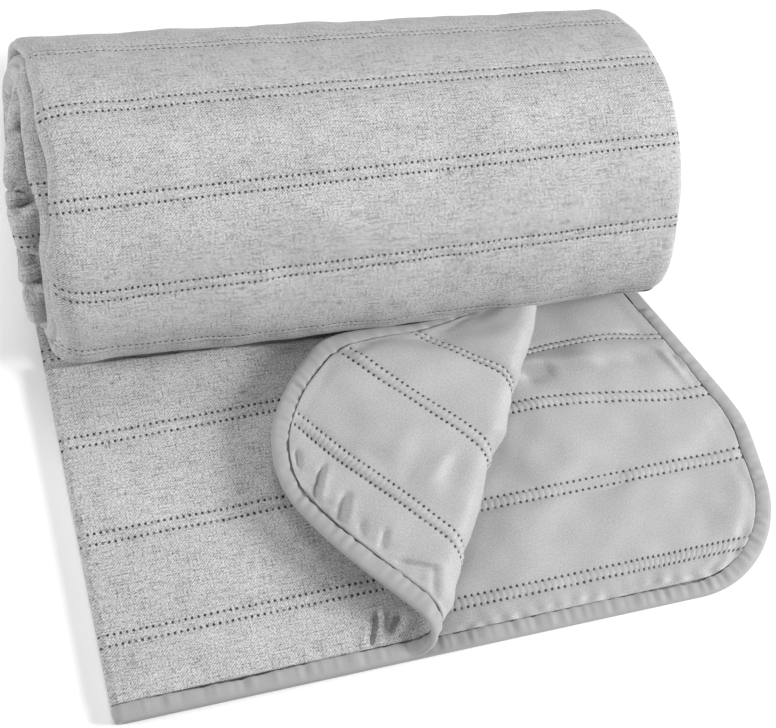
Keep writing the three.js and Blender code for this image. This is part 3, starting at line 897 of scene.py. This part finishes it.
def carry_band(base, tilt, bend, turn_depth, x_left, x_right, skin_x, right_end, relief, pinch):
    """The doubled cloth carried round the roll: skin from right to left, left fold, inside, right end.

    x_left and x_right are its ends at each step, relief(x, angle) raises the skin and dies away round both
    ends, and pinch draws the two sides of the fold together.
    """
    low, high = x_left[:, None], x_right[:, None]
    share = (skin_x[::-1] - skin_x[0]) / (skin_x[-1] - skin_x[0])
    to_left = (1 - smooth(0, 0.1, share)) * (low + HALF_BAND - skin_x[0])
    x_skin = skin_x[::-1] + to_left + smooth(0.93, 1, share) * (high - 8 - skin_x[-1])
    x_fold = low + HALF_BAND * (1 - np.sin(FOLD_STEPS))
    x = np.concatenate([x_skin, x_fold, low + INSIDE_X, high + right_end[:, 0]], 1)
    fold_depth = HALF_BAND * (1 - np.cos(FOLD_STEPS))
    depth = np.concatenate([0 * skin_x, fold_depth, 0 * INSIDE_X + BAND, right_end[:, 1]])
    by_fold = np.exp((low - np.maximum(x, low)) / BEND_REACH)
    angle = base[:, None] + tilt[:, None] * (x - ROLL_MID_X) + bend[:, None] * by_fold
    skin = relief(x_skin, angle[:, :len(skin_x)])
    fold = skin[:, -1:] * (0.5 + 0.5 * np.cos(FOLD_STEPS)) + pinch[:, None] * np.cos(FOLD_STEPS)
    end = skin[:, :1] * np.maximum(0, 1 - right_end[:, 1] / HALF_BAND)
    raised = np.concatenate([skin, fold, np.zeros((len(base), len(INSIDE_X))), end], 1)
    return x, depth, roll_point(x, angle, depth + turn_depth[:, None], raised)


def across_band(x, depth):
    """Way along the cloth across the band: x less the depth round the left fold, x plus it on the right."""
    return np.where(x < ROLL_MID_X, x - depth, x + depth)


def way_round(degrees, depth):
    """Length of cloth wound so far: the sum of each step's angle times the radius left at its depth."""
    return np.concatenate([[0], np.cumsum(np.radians(np.diff(degrees)) * (ROLL_SIZE - depth[1:]))])


print("band", BAND, "mm thick")

# %% The outer turn
SKIN_PUFF, SKIN_BARS, SKIN_SINK = 1.7, 0.1, 1.9
base, tilt, bend, number = roll_lines()
skin_x = 4.0 + np.arange(4, 306) * ROLL_STITCH / 3
rim = left_rim(base) + 1.2 * np.sin(base / 9.0) + 0.7 * np.sin(base / 4.1)


def outer_relief(x, angle):
    """Quilted relief of the outer turn with its pairs sunk below the skin, and a slow unevenness."""
    quilted = quilt_relief(number[:, None] + 0 * x, x / ROLL_STITCH, SKIN_PUFF, SKIN_BARS, FACE_SHOULDER)
    uneven = 0.45 * soft_noise(x, angle * 1.7, 70, 31) + 0.15 * soft_noise(x, angle * 1.7, 26, 32)
    return quilted - SKIN_SINK + uneven


def band_maps(x, depth, arc, number):
    """UV maps of a band: its cloth in metres, and stitches across with the row number along."""
    return {
        "cloth": np.stack([across_band(x, depth), arc[:, None] + 0 * x], -1) * MM,
        "stitch": np.stack([x / ROLL_STITCH, number[:, None] + 0 * x], -1),
    }


x, depth, points = carry_band(base, tilt, bend, into_nip(base), rim, right_rim(base) + 1.5, skin_x,
                              TUCKED_END, outer_relief, -1.2 + 0 * base)
maps = band_maps(x, depth, way_round(base, 0 * base), number)
outer_turn = new_piece("outer_turn", points, tube_quads(*points.shape[:2]), maps, linen)

# %% [markdown]
# ## The inner turns
#
# Inside the outer turn the band winds on towards the middle. Only its ends show, so its profile is fine
# near the fold and sparse along the roll. The inner turns have slid out to the left, and where a quilting
# row meets the fold the edge is gathered, so the fold is a chain of soft pillows with a sharp crease
# between each two. The pillows of the second and third turn are listed one by one, and the hidden ones
# come from a seeded random draw.

# %% Edges and creases of the inner turns
INNER_TURNS = 7.2
# Angle and x of the fold
SECOND_EDGE = np.array([
    (-76, -3), (-30, 0), (0, 3), (28, 3.5), (47, 4), (56, 7), (63, 8), (78, 4.5), (83, 5), (95, 6),
    (108, 9), (121, 10), (132, 14), (149, 17), (170, 12), (200, 4), (240, -3), (284, -3),
])
THIRD_EDGE = np.array([
    (-76, -3), (-25, -3), (-10, -1), (3, -8.5), (29, -11), (45, -9), (61, -11.5),
    (78, -10.5), (99, -3), (118, 3), (138, 11), (160, 8), (190, 4), (284, -3),
])
# Angle of each crease, and how it slants away from the fold in degrees per mm
SECOND_CREASES = ((126, 0.3), (-18, 0.0))
THIRD_CREASES = ((119, 0.2), (97.5, 0.4), (75.5, -0.3), (63.5, 0.3), (44, -0.3), (24, 0.4), (-4, 0.1))
CREASE_STEP = 24.0


def inner_edge(turn, angle):
    """x of the fold on a turn, read from its table of points; each deeper turn lies a little further in."""
    table = SECOND_EDGE if turn == 0 else THIRD_EDGE
    edge = np.interp(angle, table[:, 0], table[:, 1])
    return edge + max(turn - 1, 0) * 1.5 + 1.5 * soft_noise(angle, 0, 60, 50 + turn) * (turn > 1)


def turn_creases(turn):
    """Creases of a turn: listed for the two that show, and every CREASE_STEP or so on the others."""
    if turn < 2:
        return SECOND_CREASES if turn == 0 else THIRD_CREASES
    draw = np.random.default_rng(70 + turn)
    spots = np.arange(-70, 280, CREASE_STEP)
    return tuple(zip(spots + draw.uniform(-6, 6, len(spots)), draw.uniform(-0.4, 0.4, len(spots))))


def crease_depth(turn, angle, inward, wide):
    """1 in each crease of a turn: a sharp valley, an exponential of the distance from the crease's line."""
    radius = ROLL_SIZE - TURN_PITCH * (turn + 1)
    total = np.zeros(np.broadcast_shapes(np.shape(angle), np.shape(inward)))
    for spot, slant in turn_creases(turn):
        away = np.abs(np.radians(angle - spot - slant * inward)) * radius
        total = np.maximum(total, np.exp(-away / wide))
    return total


print(len(SECOND_CREASES) + len(THIRD_CREASES), "creases placed by hand")

# %% Gather the folds of the inner turns
NOTCH_DEEP, NOTCH_SPREAD, FOLD_PINCH = 7.0, 1.8, 4.2
VALLEY_DEEP, VALLEY_SPREAD = 8.0, 2.6
SWELL_HIGH, SWELL_SPREAD = 5.0, 8.0
wound = np.concatenate([np.arange(0, 720, 1.0), np.arange(720, INNER_TURNS * 360, 3.0)])
turn = (wound // 360).astype(int)
angle = ROUND_END - wound % 360
depth_in = TURN_PITCH * (1 + turn) + into_nip(angle)
arc = way_round(wound, depth_in)
from_fold = np.array([0, 1.5, 3, 4.5, 6, 8, 10, 12.5, 15, 18, 22, 28, 38, 60, 110, 190, 290, 350, 385.0])
inward = from_fold[::-1] + HALF_BAND
x_left, fold_sink = np.zeros_like(wound), np.zeros_like(wound)
skin_lift = np.zeros((len(wound), len(from_fold)))
for n in range(turn.max() + 1):
    here = turn == n
    spot = angle[here]
    notch = crease_depth(n, spot, 0.0, NOTCH_SPREAD)
    x_left[here] = inner_edge(n, spot) + NOTCH_DEEP * notch
    fold_sink[here] = -FOLD_PINCH * notch
    valley = VALLEY_DEEP * crease_depth(n, spot[:, None], inward, VALLEY_SPREAD)
    swell = SWELL_HIGH * (1 - crease_depth(n, spot[:, None], inward, SWELL_SPREAD)) * (n > 0)
    skin_lift[here] = swell * (1 - smooth(8, 18, inward)) - valley * (1 - smooth(10, 28, inward))
print(turn.max() + 1, "inner turns,", round(arc[-1]), "mm of band")

# %% Wind the inner turns
# Degrees wound where a quilting row shows on the second turn, and on the third
SHOWN_ROWS = (212, 593)


def inner_right(angle, depth):
    """x of the right end of an inner turn: set back behind the outer turn, pushed out towards the middle."""
    return right_rim(wrap(angle)) - 3 + 8 * smooth(12, 45, depth)


nearest = np.where(turn == 0, arc[SHOWN_ROWS[0]], arc[SHOWN_ROWS[1]])
row = np.clip((arc - nearest) / ROW_PITCH, -0.45, 0.45)
x_right = inner_right(angle, depth_in) + 2.0 * soft_noise(arc, 0, 80, 41)
still = 0 * angle
x, depth, points = carry_band(angle, still, still, depth_in, x_left, x_right, from_fold + 10, BOUND_END,
                              lambda *_: skin_lift, fold_sink)
maps = band_maps(x, depth, arc, row)
inner_turns = new_piece("inner_turns", points, tube_quads(*points.shape[:2])[:, ::-1], maps, linen)

# %% [markdown]
# ## Bound edges at the roll's right end
#
# The outer turn's edge is tucked in, so only linen shows from the front. Behind it the tape runs on along
# both layers of the inner turns, so the right end of the roll is a spiral of two tapes. One small profile
# is carried along the whole spiral for each layer.

# %% Tapes along the spiral
TAPE_RING = np.linspace(0, 2 * np.pi, 12, endpoint=False)
TAPE_SET_BACK, TAPE_WAVE = 4.5, 3.1


def squared(wave):
    """A sine or cosine drawn out towards a square wave: its size to the power 0.6, with its sign."""
    return np.sign(wave) * np.abs(wave) ** 0.6


def edge_tape(name, middle_depth):
    """A flat oval, one tape wide and half a band thick, carried along the right edge of one layer."""
    at, deep = angle[::4, None], depth_in[::4, None]
    along = way_round(wound[::4], depth_in[::4])[:, None]
    end = inner_right(at, deep) + np.sin(along / TAPE_WAVE)
    x = end - TAPE_SET_BACK + TAPE_W / 2 * squared(np.cos(TAPE_RING))
    w = middle_depth + HALF_BAND / 2 * squared(np.sin(TAPE_RING))
    points = roll_point(x, at + 0 * x, deep + w + 0 * x, 0 * x)
    uv = np.stack([along + 0 * x, 10 * TAPE_RING / 6.3 + 0 * x], -1) * MM
    return new_piece(name, points, tube_quads(*points.shape[:2])[:, ::-1], {"cloth": uv}, tape_cloth)


outer_edge_tape = edge_tape("roll_edge_tape_outer", 2.6)
inner_edge_tape = edge_tape("roll_edge_tape_inner", 8.4)

# %% [markdown]
# ## Floor and light
#
# A pale floor and soft white light: an even sky gives the soft shading in the folds and the dark line
# under the roll. The main lamp, low on the right, draws the wrinkles and lets the turned-back corner cast
# a shadow on the linen. One on the left keeps the folds of the roll's end from going black, and a weak
# one high behind lights its top.

# %% Floor and sky
FLOOR_HALF, FLOOR_Z = 4.0, -0.0004
SKY_STRENGTH = 0.22
floor_mesh = bpy.data.meshes.new("floor")
corners = [(x * FLOOR_HALF, y * FLOOR_HALF, FLOOR_Z) for x, y in ((-1, -1), (1, -1), (1, 1), (-1, 1))]
floor_mesh.from_pydata(corners, [], [(0, 1, 2, 3)])
floor = put("floor", floor_mesh)
paper = bpy.data.materials.new("paper")
paper.use_nodes = True
paper_shader = paper.node_tree.nodes["Principled BSDF"]
paper_shader.inputs["Base Color"].default_value = (0.93, 0.93, 0.93, 1)
paper_shader.inputs["Roughness"].default_value = 0.9
floor_mesh.materials.append(paper)

world = bpy.data.worlds.new("sky")
bpy.context.scene.world = world
world.use_nodes = True
sky = world.node_tree.nodes["Background"]
sky.inputs["Color"].default_value = (1, 1, 1, 1)
sky.inputs["Strength"].default_value = SKY_STRENGTH
print("sky strength", SKY_STRENGTH)

# %% Lamps
LAMP_AIM = np.array([0.0, -0.13, 0.05])
LAMP_FAR, LAMP_SIZE = 3.0, 1.1


def soft_lamp(name, azimuth, elevation, watts):
    """A round lamp at LAMP_FAR from the cloth that faces it; azimuth 0 is in front, 90 right, 180 behind."""
    lamp = put(name, bpy.data.lights.new(name, "AREA"))
    lamp.data.shape = "DISK"
    lamp.data.size, lamp.data.energy = LAMP_SIZE, watts
    a, e = np.radians(azimuth), np.radians(elevation)
    back = np.array([np.sin(a) * np.cos(e), -np.cos(a) * np.cos(e), np.sin(e)])
    right = np.cross((0, 0, 1), back)
    right /= np.linalg.norm(right)
    axes = Matrix(np.stack([right, np.cross(back, right), back], 1).tolist()).to_4x4()
    lamp.matrix_world = Matrix.Translation(LAMP_AIM + LAMP_FAR * back) @ axes
    return lamp


lamps = [
    soft_lamp("right", 72, 27, 127),
    soft_lamp("left", 270, 32, 54),
    soft_lamp("back", 180, 58, 28),
]
bpy.context.scene.view_settings.view_transform = "Standard"
print("lamps", [lamp.data.energy for lamp in lamps], "W")

# %% [markdown]
# ## What each piece stands for
#
# The pieces take the places of the imported solids, which are hidden.

# %% Replace the solids
for piece, node, slot in (
    (outer_turn, "face_cloth", "linen"),
    (loose_linen, "face_cloth", "linen"),
    (inner_turns, "face_cloth", "linen"),
    (outer_edge_tape, "face_cloth", "tape"),
    (inner_edge_tape, "face_cloth", "tape"),
    (loose_lining, "lining_cloth", "satin"),
    (binding, "binding", "tape"),
):
    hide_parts(node)
